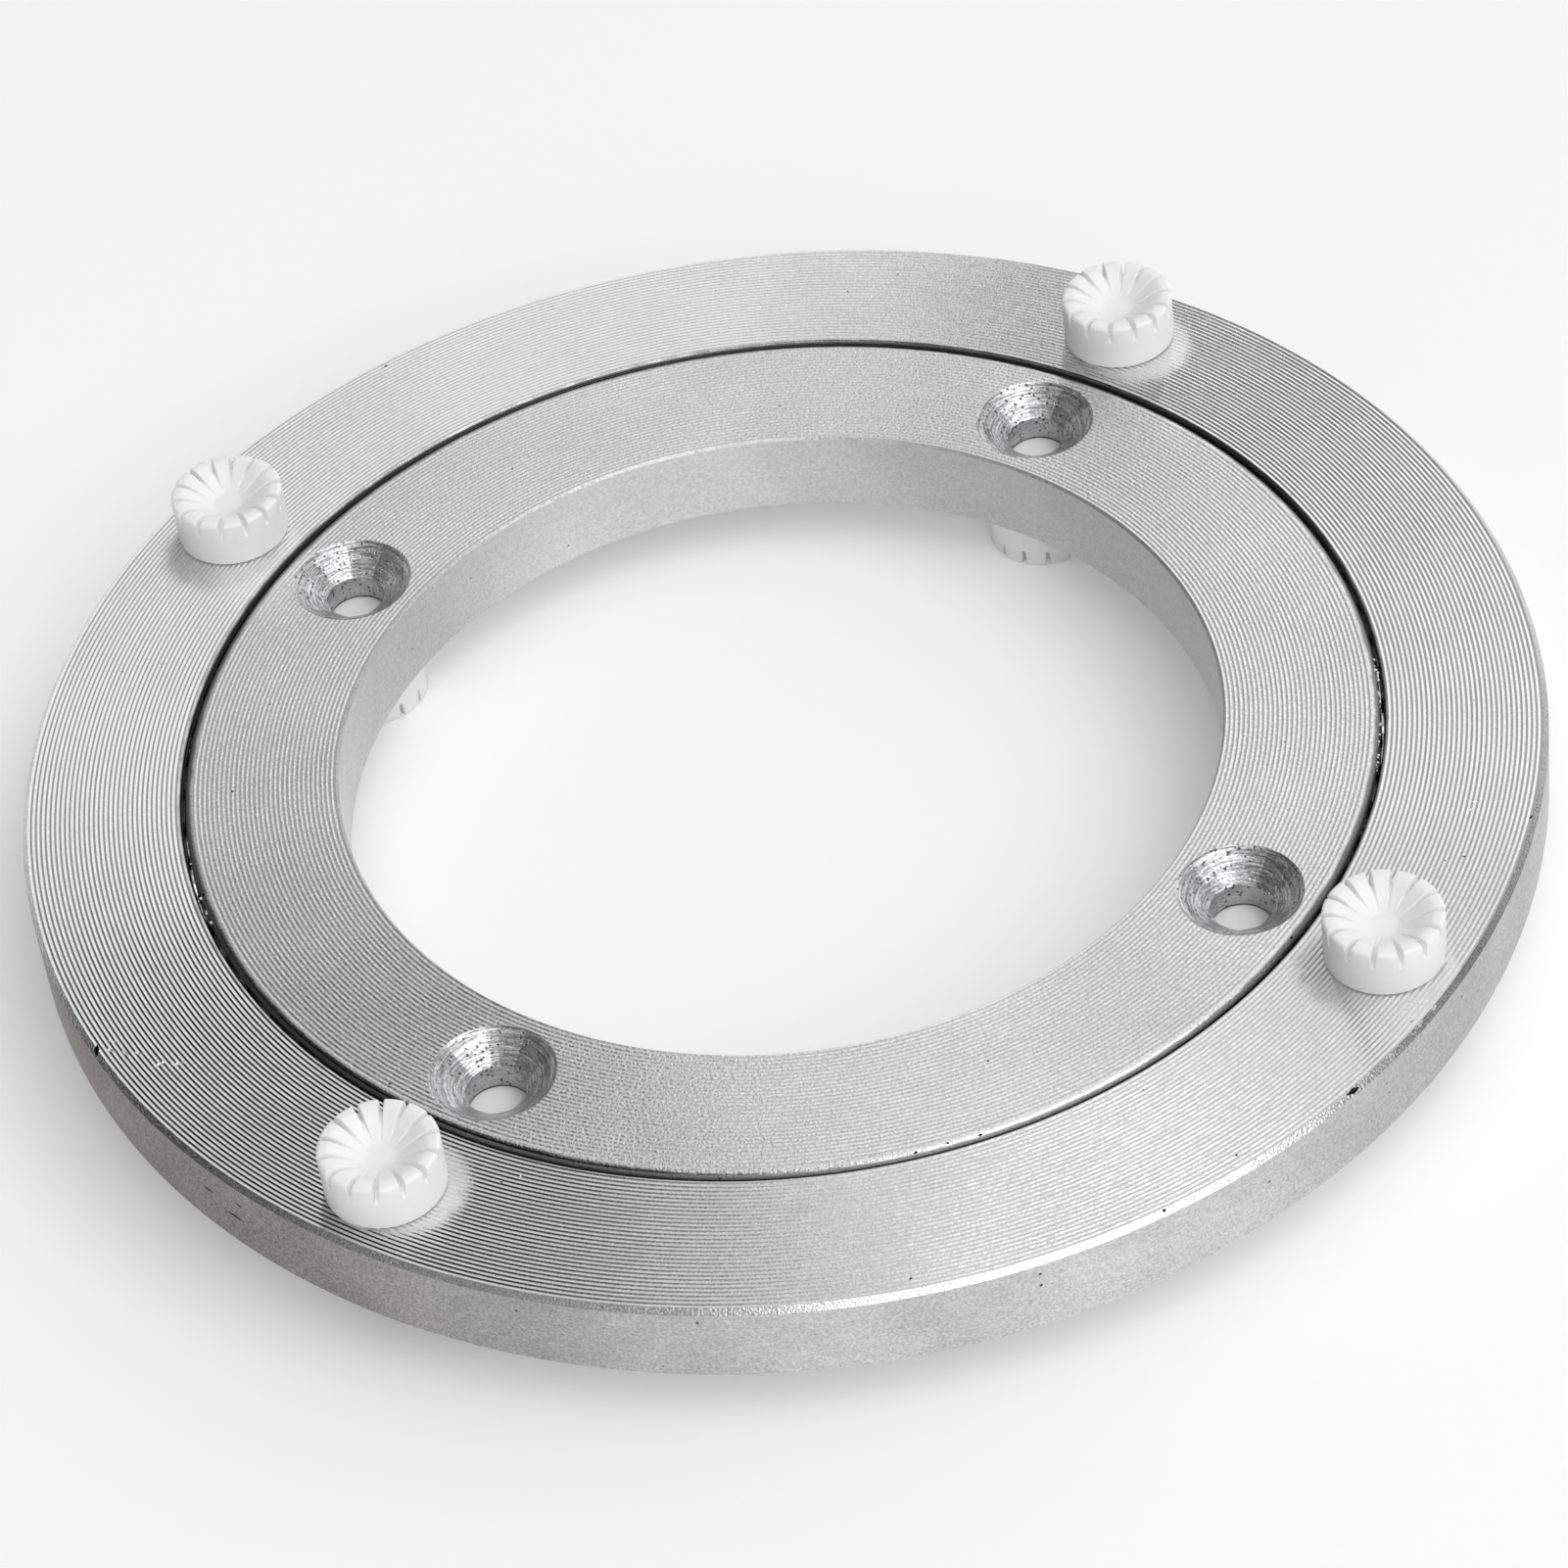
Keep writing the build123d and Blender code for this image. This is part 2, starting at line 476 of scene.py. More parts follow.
def closed_mesh(name, work, *finishes):
    """Mesh from a bmesh, with its faces outwards."""
    bmesh.ops.recalc_face_normals(work, faces=work.faces)
    mesh = bpy.data.meshes.new(name)
    work.to_mesh(mesh)
    work.free()
    for finish in finishes:
        mesh.materials.append(finish)
    return mesh


def dressed(geometry, material, where=True):
    """Geometry with a material where it is chosen."""
    inputs = {"Geometry": geometry, "Selection": where, "Material": material}
    return add(geometry.tree, "GeometryNodeSetMaterial", inputs)[0]


def copies(points, instance, material, **inputs):
    """Copies on points, made real, with their material."""
    inputs.update(Points=points, Instance=instance)
    set_out = add(points.tree, "GeometryNodeInstanceOnPoints", inputs)[0]
    return dressed(add(points.tree, "GeometryNodeRealizeInstances", {0: set_out})[0], material)


def circle_points(tree, given, count):
    """Points round a circle, at a height and from a first angle."""
    circle = add(tree, "GeometryNodeMeshCircle", {"Vertices": count, "Radius": given["Circle Radius"]})[0]
    lift, turn = joined(tree, Z=given["Height"]), joined(tree, Z=given["First Angle"])
    return add(tree, "GeometryNodeTransform", {"Geometry": circle, "Translation": lift, "Rotation": turn})[0]


def turned_ring_tree():
    """Sweeps a ring's section round the axis, and presses turning lines into its two faces."""
    inputs = dict(
        Geometry="Section",
        Int="Segments",
        Float="Sweep Radius, Line Start, Line Pitch, Line Depth, Face Height, Middle, "
        "Race Radius, Race Reach, Lip Height",
        Material="Metal, Wall, Grease",
    )
    tree, given = new_group("Turned ring", "GeometryNodeTree", inputs, dict(Geometry="Ring"))
    section = add(tree, "GeometryNodeMeshToCurve", {"Mesh": given["Section"]})[0]
    round_axis = {"Resolution": given["Segments"], "Radius": given["Sweep Radius"]}
    circle = add(tree, "GeometryNodeCurvePrimitiveCircle", round_axis)[0]
    swept = add(tree, "GeometryNodeCurveToMesh", {"Curve": circle, "Profile Curve": section})[0]

    radius, _, _, height = polar(add(tree, "GeometryNodeInputPosition")[0])
    on_face = abs(height) > given["Face Height"] - FACE_SLACK
    turns = (radius - given["Line Start"]) / given["Line Pitch"]
    from_middle = (turns + LINE_SLACK).maths("FRACT") - 0.5
    hollow = from_middle * from_middle * -4.0 + 1.0
    sunk = hollow * given["Line Depth"] * (height.maths("SIGN") * -1.0)
    pressed = {"Geometry": swept, "Selection": on_face, "Offset": joined(tree, Z=sunk)}
    lined = add(tree, "GeometryNodeSetPosition", pressed)[0]
    raised = {"Geometry": lined, "Translation": joined(tree, Z=given["Middle"])}
    lifted = add(tree, "GeometryNodeTransform", raised)[0]

    metal = dressed(add(tree, "GeometryNodeRealizeInstances", {0: lifted})[0], given["Metal"])
    upright = abs(parted(add(tree, "GeometryNodeInputNormal")[0])["Z"]) < 0.3
    walled = dressed(metal, given["Wall"], upright)
    # Faces in the gap below the lips take the grease finish, which also paints the gap's shade
    near_race = abs(radius - given["Race Radius"]) < given["Race Reach"] + RACE_SLACK
    below_lip = abs(height - given["Middle"]) < given["Lip Height"]
    return give(tree, {"Ring": dressed(walled, given["Grease"], near_race * below_lip)})


def ball_circle_tree():
    """Sets balls round a circle."""
    inputs = dict(Int="Count", Float="Circle Radius, Ball Radius, First Angle, Height", Material="Steel")
    tree, given = new_group("Ball circle", "GeometryNodeTree", inputs, dict(Geometry="Balls"))
    shape = {"Segments": BALL_SEGMENTS, "Rings": BALL_RINGS, "Radius": given["Ball Radius"]}
    ball = add(tree, "GeometryNodeMeshUVSphere", shape)[0]
    return give(tree, {"Balls": copies(circle_points(tree, given, given["Count"]), ball, given["Steel"])})


def pad_circle_tree():
    """Sets four copies of a pad round a circle, each with its own spin."""
    spins = [f"Spin {number}" for number in range(1, 5)]
    sizes = ", ".join(["Circle Radius", "First Angle", "Height", "Turned Over", *spins])
    inputs = dict(Geometry="Pad", Float=sizes, Material="Plastic")
    tree, given = new_group("Pad circle", "GeometryNodeTree", inputs, dict(Geometry="Pads"))
    spin = add(tree, "GeometryNodeIndexSwitch", data_type="FLOAT")
    while len(spin.node.index_switch_items) < len(spins):
        spin.node.index_switch_items.new()
    put(spin.node, {"Index": add(tree, "GeometryNodeInputIndex")[0]})
    put(spin.node, {number: given[name] for number, name in enumerate(spins, start=1)})
    facing = joined(tree, X=given["Turned Over"], Z=spin[0])
    turned = add(tree, "FunctionNodeEulerToRotation", {0: facing})[0]
    points = circle_points(tree, given, len(spins))
    return give(tree, {"Pads": copies(points, given["Pad"], given["Plastic"], Rotation=turned)})


def glint_bead_tree():
    """Scatters small pale beads of grease along part of the gap, whose pale colour paints glints there."""
    ranges = [("First Angle", "Last Angle")]
    ranges += [(f"Least {size}", f"Greatest {size}") for size in ("Radius", "Height", "Size")]
    inputs = dict(Int="Count, Seed", Float=", ".join(sum(ranges, ())), Material="Grease")
    tree, given = new_group("Grease beads", "GeometryNodeTree", inputs, dict(Geometry="Beads"))
    drawn = []
    for shift, (low, high) in enumerate(ranges):
        limits = {"Min": given[low], "Max": given[high], "Seed": given["Seed"] + float(shift)}
        drawn.append(add(tree, "FunctionNodeRandomValue", limits)["Value"])
    turn, radius, height, size = drawn
    place = joined(tree, X=radius * turn.maths("COSINE"), Y=radius * turn.maths("SINE"), Z=height)
    points = add(tree, "GeometryNodePoints", {"Count": given["Count"], "Position": place})[0]
    bead = add(tree, "GeometryNodeMeshIcoSphere", {"Radius": 1.0, "Subdivisions": 3})[0]
    return give(tree, {"Beads": copies(points, bead, given["Grease"], Scale=size)})


def shader_group(name, values, results):
    """Shader group that starts from a vector and has further values."""
    inputs = dict(Vector="Vector", Float=values)
    return new_group(name, "ShaderNodeTree", inputs, dict(Float=results))


def grain_group(name):
    """Fine satin grain: a height, and a shade about 0."""
    tree, given = shader_group(name, "Scale", "Height, Shade")
    fine = noise(given["Vector"], given["Scale"], 2.0, 0.6)
    broad = noise(given["Vector"], given["Scale"] * 0.02, 3.0)
    return give(tree, {"Height": fine, "Shade": (fine - 0.5) * 0.7 + (broad - 0.5) * 0.3})


def streak_group(name):
    """Fine marks that run round the axis: a value from 0 to 1."""
    tree, given = shader_group(name, "Fineness, Run", "Streak")
    radius, x, y, z = polar(given["Vector"])
    run = given["Run"]
    place = joined(tree, X=x / radius * run, Y=y / radius * run, Z=(radius + z) * given["Fineness"])
    return give(tree, {"Streak": noise(place, 1.0, 3.0, 0.65)})


def speck_group(name):
    """Scattered specks: a mask that is 1 in a speck."""
    tree, given = shader_group(name, "Scale, Size, Share", "Mask")
    cells = add(tree, "ShaderNodeTexVoronoi", {"Vector": given["Vector"], "Scale": given["Scale"]})
    tint = add(tree, "ShaderNodeSeparateColor", {0: cells["Color"]})
    size = given["Size"] * (tint[1] + 0.4)
    near = mapped(cells["Distance"], size, size * 0.5)
    return give(tree, {"Mask": (tint[0] < given["Share"]) * near})


def slant_group(name):
    """Masks from the way a surface faces: 1 on upright walls, and 1 on chamfers."""
    outputs = dict(Float="Upright, Chamfer")
    tree, given = new_group(name, "ShaderNodeTree", dict(Vector="Normal"), outputs)
    rise = abs(parted(given["Normal"])["Z"])
    chamfer = mapped(abs(rise - cos(pi / 4)), 0.16, 0.08)
    return give(tree, {"Upright": mapped(rise, 0.5, 0.2), "Chamfer": chamfer})


def gap_shade_group(name):
    """Painted shade, uneven, on both sides of the gap, and thinner at the front where the lip catches the
    light: a mask.
    """
    tree, given = shader_group(name, "Radius, Reach", "Mask")
    radius = polar(given["Vector"])[0]
    front = towards(given["Vector"], direction(THIN_SHADE_SIDE))
    thinner_at_front = mapped(front / radius, 0.8, 0.96, 1.0, 0.45)
    edge = given["Reach"] * (thinner_at_front * (noise(given["Vector"], 420.0, 4.0) * 0.8 + 0.6))
    return give(tree, {"Mask": mapped(abs(radius - given["Radius"]), edge, edge * 0.6)})


def chatter_group(name):
    """Torn rings left by the countersinking tool round each of four holes: a value from 0 to 1."""
    tree, given = shader_group(name, "Circle, Turn", "Ring")
    spun = {"Vector": given["Vector"], "Angle": given["Turn"]}
    squared = add(tree, "ShaderNodeVectorRotate", spun, rotation_type="Z_AXIS")[0]
    folded = add(tree, "ShaderNodeVectorMath", {0: squared}, operation="ABSOLUTE")[0]
    side = given["Circle"] * cos(pi / 4)
    from_hole = {0: folded, 1: joined(tree, X=side, Y=side)}
    local = add(tree, "ShaderNodeVectorMath", from_hole, operation="SUBTRACT")[0]
    return give(tree, {"Ring": use_group("Turning streaks", local, fineness=3600.0, run=1.6)[0]})


SHADER_GROUPS = {
    "Satin grain": grain_group,
    "Turning streaks": streak_group,
    "Specks": speck_group,
    "Slant": slant_group,
    "Gap grime": gap_shade_group,
    "Chatter rings": chatter_group,
}


def use_group(name, vector, **inputs):
    """Places a shared shader group, which is made once, beside the vector that it starts from."""
    group = bpy.data.node_groups.get(name) or SHADER_GROUPS[name](name)
    named = {socket.capitalize(): value for socket, value in inputs.items()}
    return add(vector.tree, "ShaderNodeGroup", {0: vector, **named}, node_tree=group)


def new_finish(name):
    """Material with its shader, then its object coordinates and its normals."""
    finish = bpy.data.materials.new(name)
    finish.use_nodes = True
    tree = finish.node_tree
    places = add(tree, "ShaderNodeTexCoord")
    return finish, tree.nodes["Principled BSDF"], places["Object"], places["Normal"]


def shared_finish(name, make, *values):
    """A finish that several pieces use, made once."""
    return bpy.data.materials.get(name) or make(name, *values)


def opaque(colour, factor=1.0):
    """Colour with a full alpha."""
    return (colour[0] * factor, colour[1] * factor, colour[2] * factor, 1.0)


def mixed(share, first, second, blend="MIX"):
    """Colour between two colours."""
    inputs = {0: share, 6: first, 7: second}
    return add(share.tree, "ShaderNodeMix", inputs, data_type="RGBA", blend_type=blend)[2]


def toned(share, colour, dark, light):
    """Colour between two tones of one colour."""
    return mixed(share, opaque(colour, dark), opaque(colour, light))


def bump(height, distance):
    """Normal of a surface that a height raises by up to a distance in millimetres."""
    return add(height.tree, "ShaderNodeBump", {"Height": height, "Distance": distance * MM, "Strength": 1.0})[0]


def aluminium_finish(name, colour, shades, grain_scale, tooth, roughness, drawn=0.0, edge=0.0, side_shade=0.0):
    """Satin turned aluminium: sandy grain, fine turning streaks, scattered pits, and painted shade along the
    gap.

    A rim's left side may have painted brownish shade too."""
    finish, shader, place, normal = new_finish(name)
    grain = use_group("Satin grain", place, scale=grain_scale)
    height, shade = grain["Height"], grain["Shade"]
    streak = use_group("Turning streaks", place, fineness=9000.0, run=26.0)[0]
    pits = use_group("Specks", place, scale=560.0, size=0.075, share=0.3 if drawn else 0.14)[0]
    chamfer = use_group("Slant", normal)["Chamfer"]
    # Painted shade along the gap between the two rings
    gap_shade = use_group("Gap grime", place, radius=RACE_RADIUS - 0.15 * MM, reach=0.7 * MM)[0]
    metal = toned(mapped(shade * 0.8 + (streak - 0.5) * 0.25, -0.16, 0.16), colour, *shades)
    if side_shade:
        # Painted shade: the wall that faces the left is darkened with a brownish tint, unevenly with the grain
        side = mapped(towards(normal, direction(SHADED_SIDE)), 0.62, 0.97, 0.0, side_shade)
        metal = mixed(side * (shade * -2.2 + 0.9), metal, (0.31, 0.27, 0.24, 1.0), "MULTIPLY")
    worn = mapped(chamfer * (shade * 3.0 + 0.3), 0.0, 1.0, 0.0, 0.7)
    dulled = mixed((gap_shade * 0.8).maths("MAXIMUM", worn), metal, opaque(colour, 0.08))
    inputs = {
        "Base Color": mixed(pits, dulled, opaque(colour, 0.1)),
        "Roughness": height * 0.12 + roughness + (pits * 0.4 + chamfer * edge),
        "Metallic": 1.0,
        "Anisotropic": drawn,
        "Anisotropic Rotation": 0.25,
        "Tangent": add(place.tree, "ShaderNodeTangent", direction_type="RADIAL", axis="Z")[0],
        "Normal": bump(height * (chamfer * 1.2 + tooth) + (streak * 0.4 - pits * 1.5), 0.03),
    }
    put(shader, inputs)
    return finish


def cut_metal_finish(name, colour, circle, turn):
    """Bare metal left by the countersinking tool: torn in rings and speckled, duller in the straight hole."""
    finish, shader, place, normal = new_finish(name)
    grain = use_group("Satin grain", place, scale=4200.0)
    ring = use_group("Chatter rings", place, circle=circle, turn=turn)[0]
    pits = use_group("Specks", place, scale=2900.0, size=0.38, share=0.46)[0]
    upright = use_group("Slant", normal)["Upright"]
    share = mapped(grain["Shade"] * 0.5 + (ring - 0.5), -0.22, 0.22)
    metal = mixed(upright, toned(share, colour, 0.22, 1.38), toned(share, colour, 0.55, 0.8))
    inputs = {
        "Base Color": mixed(pits * 0.9, metal, opaque(colour, 0.06)),
        "Roughness": grain["Height"] * 0.16 + 0.07,
        "Metallic": 0.85,
        "Normal": bump(grain["Height"] * 0.4 + (ring * 2.6 - pits * 1.2), 0.05),
    }
    put(shader, inputs)
    return finish


def grained_finish(name, colour, shades, grain_scale, spread, roughness, height, metallic=1.0):
    """Surface that a fine grain shades, roughens and raises. Its roughness is a variation and a least value."""
    finish, shader, place, _ = new_finish(name)
    grain = use_group("Satin grain", place, scale=grain_scale)
    inputs = {
        "Base Color": toned(mapped(grain["Shade"], -spread, spread), colour, *shades),
        "Roughness": grain["Height"] * roughness[0] + roughness[1],
        "Metallic": metallic,
        "Normal": bump(grain["Height"], height),
    }
    put(shader, inputs)
    return finish


def torn_finish(name, colour, factor):
    """Torn metal in nicks and scrapes, toned by a factor; the nicks' near-black factor paints the shade inside
    them.
    """
    return grained_finish(name, colour, (0.5 * factor, 1.4 * factor), 6000.0, 0.2, (0.3, 0.25), 0.06)


def steel_finish(name, colour, roughness):
    """Steel with a thin film of grease."""
    return grained_finish(name, colour, (0.8, 1.1), 2500.0, 0.3, (0.12, roughness), 0.004)


def grease_and_shade_finish(name, colour):
    """Grease on the race and in the gap, wet and uneven, painted nearly black as the shade deep in the gap."""
    finish, shader, place, _ = new_finish(name)
    lumps = noise(place, 1400.0, 4.0)
    rough = lumps * 0.3 + 0.15
    put(shader, {"Base Color": toned(lumps, colour, 0.5, 1.8), "Roughness": rough, "Normal": bump(lumps, 0.2)})
    return finish


def plastic_finish(name, colour):
    """Off-white moulded plastic with a soft sheen, faint marks and a few dark specks."""
    finish, shader, place, _ = new_finish(name)
    grain = use_group("Satin grain", place, scale=2200.0)
    specks = use_group("Specks", place, scale=900.0, size=0.09, share=0.04)[0]
    warm = (colour[0] * 0.975, colour[1] * 0.97, colour[2] * 0.96, 1.0)
    plain = mixed(mapped(grain["Shade"], -0.3, 0.3), warm, opaque(colour, 1.02))
    inputs = {
        "Base Color": mixed(specks, plain, (0.25, 0.22, 0.2, 1.0)),
        "Roughness": grain["Height"] * 0.2 + 0.3,
        "Subsurface Weight": 0.5,
        "Subsurface Radius": (1.0, 1.0, 1.0),
        "Subsurface Scale": 1.0 * MM,
        "Normal": bump(grain["Height"], 0.012),
    }
    put(shader, inputs)
    return finish


def ring_section(wall, far, far_chamfer, lip, pitch, settings):
    """Closed outline of a ring as (radius, height) about its middle, with points for the lines in its faces."""
    side = 1 if far > wall else -1
    face_start = wall + side * lip
    face_end = far - side * far_chamfer
    lines = round(abs(face_end - face_start) / pitch)
    race = settings.race_reach
    wall_offset = abs(wall - RACE_RADIUS)
    race_end = atan2(sqrt(race**2 - wall_offset**2), wall_offset)
    upper = []
    for step in range(RACE_STEPS + 1):
        turn = race_end * step / RACE_STEPS
        upper.append((RACE_RADIUS + side * race * cos(turn), race * sin(turn)))
    for step in range(LIP_STEPS):
        turn = pi / 2 * step / LIP_STEPS
        height = HALF_THICKNESS - settings.lip_drop * (1 - sin(turn))
        upper.append((wall + side * lip * (1 - cos(turn)), height))
    bends = OUTER_BENDS if side > 0 else INNER_BENDS
    places = [line + bend for line in range(lines) for bend in bends] + [lines]
    upper += [(face_start + (face_end - face_start) * place / lines, HALF_THICKNESS) for place in places]
    upper.append((far, HALF_THICKNESS - far_chamfer))
    lower = [(radius, -height) for radius, height in reversed(upper[1:])]
    return upper + lower, face_start, face_end, lines


def hole_rows(work, place, settings, draw):
    """Tool for one hole, from above the countersunk face at height 0 down to the socket.

    Its cone is torn in rings, and flattened a little into broad facets where the cutting tool chattered."""
    segments = HOLE_FACETS * FACET_STEPS
    half_facet = pi / HOLE_FACETS
    above = [(0, TOOL_CLEARANCE), (settings.sink_radius, TOOL_CLEARANCE)]
    rows = [circle_row(work, place, radius, height, segments) for radius, height in above]
    for ring in range(HOLE_RINGS + 1):
        share = ring / HOLE_RINGS
        radius = settings.sink_radius + (settings.hole_radius - settings.sink_radius) * share
        inside = ring not in (0, HOLE_RINGS)
        wave = (RING_WAVE if ring % 2 else -RING_WAVE) * draw.uniform(0.4, 1.0) * MM if inside else 0.0
        row = []
        for step in range(segments):
            across = half_facet * (2 * (step % FACET_STEPS) / FACET_STEPS - 1)
            flat = FACET_FLATNESS * min(1.0, 4 * share) * (1 - cos(half_facet) / cos(across))
            torn = wave + (draw.uniform(-TEAR, TEAR) * MM if inside else 0.0)
            out = radius * (1 - flat) + torn
            turn = 2 * pi * step / segments
            row.append(point_at(work, place, out, turn, torn - settings.sink_depth * share))
        rows.append(row)
    depth = 2 * HALF_THICKNESS
    socket = settings.socket_depth - depth
    end = -depth - TOOL_CLEARANCE
    below = [(settings.hole_radius, socket), (settings.socket_radius, socket)]
    below += [(settings.socket_radius, end), (0, end)]
    rows += [circle_row(work, place, radius, height, segments) for radius, height in below]
    skin(work, rows)


def hole_tools(ring, circle, first_angle, face, turned_over, settings):
    """One mesh with the tools for a ring's four holes, in the finish that they leave."""
    finish = cut_metal_finish(f"{ring}_cut_metal", settings.cut_metal, circle, pi / 4 - first_angle)
    work = bmesh.new()
    draw = random.Random(HOLE_SEED)
    for quarter in range(4):
        turn = first_angle + quarter * pi / 2
        place = Matrix.Translation((circle * cos(turn), circle * sin(turn), face))
        if turned_over:
            place = place @ Matrix.Rotation(pi, 4, "X")
        hole_rows(work, place @ Matrix.Rotation(HOLE_SPIN, 4, "Z"), settings, draw)
    name = f"{ring}_holes"
    return new_piece(name, closed_mesh(name, work, finish))


def along_plug(distance):
    """Place on the loading hole's axis, with local Z pointing outwards."""
    outwards = Matrix.Rotation(PLUG_ANGLE, 4, "Z") @ Matrix.Rotation(pi / 2, 4, "Y")
    return Matrix.Translation((0, 0, RING_MIDDLE)) @ outwards @ Matrix.Translation((0, 0, distance))


def loading_hole_tool(settings, finish):
    """The tool for the hole in the rim through which the balls are loaded."""
    work = bmesh.new()
    place = along_plug(RACE_RADIUS)
    length = RIM - RACE_RADIUS + TOOL_CLEARANCE
    outline = [(0, 0), (settings.fill_radius, 0), (settings.fill_radius, length), (0, length)]
    skin(work, [circle_row(work, place, radius, height, LOADING_HOLE_STEPS) for radius, height in outline])
    return new_piece("loading_hole", closed_mesh("loading_hole", work, finish))


def wear_tools(name, marks, finish):
    """One mesh with the long diamonds that cut a ring's nicks or scrapes."""
    work = bmesh.new()
    for angle, radius, below, slant, length, width, depth in marks:
        out = Matrix.Translation((radius * MM, 0, RING_TOP - below * MM))
        place = Matrix.Rotation(radians(angle), 4, "Z") @ out @ Matrix.Rotation(radians(slant), 4, "Z")
        ends = []
        for axis, size in enumerate((length / 2 * MM, width / 2 * MM, depth * MM)):
            corner = Vector((0, 0, 0))
            corner[axis] = size
            ends.append([work.verts.new(place @ corner), work.verts.new(place @ -corner)])
        for corners in product(*ends):
            work.faces.new(corners)
    return new_piece(name, closed_mesh(name, work, finish))


def cut(thing, tool):
    """Takes a tool's shape out of a piece, when its modifiers are made a mesh."""
    modifier = thing.modifiers.new(tool.name, "BOOLEAN")
    modifier.operation = "DIFFERENCE"
    modifier.solver = "EXACT"
    modifier.material_mode = "TRANSFER"
    modifier.object = tool
    tool.hide_render = True


def turned_ring(side, wall, far, far_chamfer, settings, metal, wall_metal, tools):
    """The inner or the outer ring, with its lines, its race and what its tools cut."""
    name = f"{side}_ring_turned"
    lip, pitch, depth = (getattr(settings, f"{side}_{size}") for size in ("lip", "pitch", "depth"))
    outline, face_start, face_end, lines = ring_section(wall, far, far_chamfer, lip, pitch, settings)
    sweep = (wall + far) / 2
    true_pitch = abs(face_end - face_start) / lines
    mesh = bpy.data.meshes.new(name)
    points = [(radius - sweep, height, 0) for radius, height in outline]
    count = len(points)
    mesh.from_pydata(points, [(step, (step + 1) % count) for step in range(count)], [])
    thing = new_piece(name, mesh)
    values = dict(
        segments=settings.segments,
        sweep_radius=sweep,
        line_start=min(face_start, face_end),
        line_pitch=true_pitch,
        line_depth=depth,
        face_height=HALF_THICKNESS,
        middle=RING_MIDDLE,
        race_radius=RACE_RADIUS,
        race_reach=settings.race_reach,
        lip_height=HALF_THICKNESS - settings.lip_drop,
        metal=metal,
        wall=wall_metal,
        grease=shared_finish("race_grease", grease_and_shade_finish, settings.grease),
    )
    grow(thing, bpy.data.node_groups.get("Turned ring") or turned_ring_tree(), values)
    for tool in tools:
        cut(thing, tool)
    made_mesh(thing)
    for tool in tools:
        bpy.data.objects.remove(tool)
    outward(thing.data)
    # The lines' flanks meet at more than this angle, so that each one stays flat.
    smooth(thing.data, 0.8 * atan(2.4 * depth / true_pitch))
    return thing


class BEARING_OT_inner_ring(bpy.types.Operator):
    """Make the inner ring, with its turning lines, race and countersunk holes"""

    bl_idname = "bearing.inner_ring"
    bl_label = "Inner Ring"

    def execute(self, context):
        settings = context.scene.bearing_rings
        colour = settings.aluminium
        metal = aluminium_finish("grained_aluminium", colour, (0.78, 1.17), 3500.0, 1.15, 0.06, edge=0.4)
        wall = aluminium_finish("bore_wall", colour, (0.72, 1.03), 3600.0, 0.6, 0.5, drawn=0.8)
        # The nicks' near-black metal paints the shade inside them
        shaded_nicks = shared_finish("nicked_metal", torn_finish, colour, 0.06)
        circle = (BORE + INNER_WALL) / 2
        angle = atan2(BOTTOM_PAD.y, BOTTOM_PAD.x)
        tools = [
            hole_tools("inner", circle, angle, RING_TOP, False, settings),
            wear_tools("inner_wear", INNER_NICKS, shaded_nicks),
        ]
        ring = turned_ring("inner", INNER_WALL, BORE, settings.bore_chamfer, settings, metal, wall, tools)
        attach(ring, "base")
        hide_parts("inner_ring")
        return {"FINISHED"}


class BEARING_OT_outer_ring(bpy.types.Operator):
    """Make the outer ring, with its turning lines, race, loading hole and countersunk holes"""

    bl_idname = "bearing.outer_ring"
    bl_label = "Outer Ring"

    def execute(self, context):
        settings = context.scene.bearing_rings
        colour = settings.aluminium
        metal = aluminium_finish("satin_aluminium", colour, (0.88, 1.12), 4800.0, 0.5, 0.06)
        wall = aluminium_finish("rim_wall", colour, (0.56, 1.04), 4000.0, 0.6, 0.5, drawn=0.8, side_shade=0.58)
        # The nicks' near-black metal paints the shade inside them
        shaded_nicks = shared_finish("nicked_metal", torn_finish, colour, 0.06)
        scraped = torn_finish("scraped_metal", colour, 0.9)
        circle = (OUTER_WALL + RIM) / 2
        angle = atan2(TOP_PAD.y, TOP_PAD.x)
        tools = [
            hole_tools("outer", circle, angle, RING_BOTTOM, True, settings),
            loading_hole_tool(settings, metal),
            wear_tools("outer_nicks", OUTER_NICKS, shaded_nicks),
            wear_tools("outer_scrapes", OUTER_SCRAPES, scraped),
        ]
        ring = turned_ring("outer", OUTER_WALL, RIM, settings.rim_chamfer, settings, metal, wall, tools)
        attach(ring, "turntable")
        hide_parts("outer_ring")
        return {"FINISHED"}


class BEARING_OT_beads(bpy.types.Operator):
    """Make the pale beads of grease in the gap, whose pale colour paints its glints"""

    bl_idname = "bearing.beads"
    bl_label = "Grease Glint Beads"

    def execute(self, context):
        # Pale grease whose colour paints the glints in the dark gap
        colour = (0.85, 0.85, 0.83)
        pale = grained_finish("pale_grease", colour, (0.6, 1.1), 5000.0, 0.2, (0.0, 0.2), 0.03, metallic=0.0)
        tree = glint_bead_tree()
        for name, count, first, last, seed in BEAD_RUNS:
            beads = grown(
                name,
                None,
                tree,
                ROUND_EDGE,
                count=count,
                first_angle=radians(first),
                last_angle=radians(last),
                least_radius=INNER_WALL - 0.2 * MM,
                greatest_radius=INNER_WALL + 0.06 * MM,
                least_height=RING_TOP - 0.42 * MM,
                greatest_height=RING_TOP - 0.24 * MM,
                least_size=0.05 * MM,
                greatest_size=0.15 * MM,
                seed=seed,
                grease=pale,
            )
            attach(beads, "base")
        return {"FINISHED"}


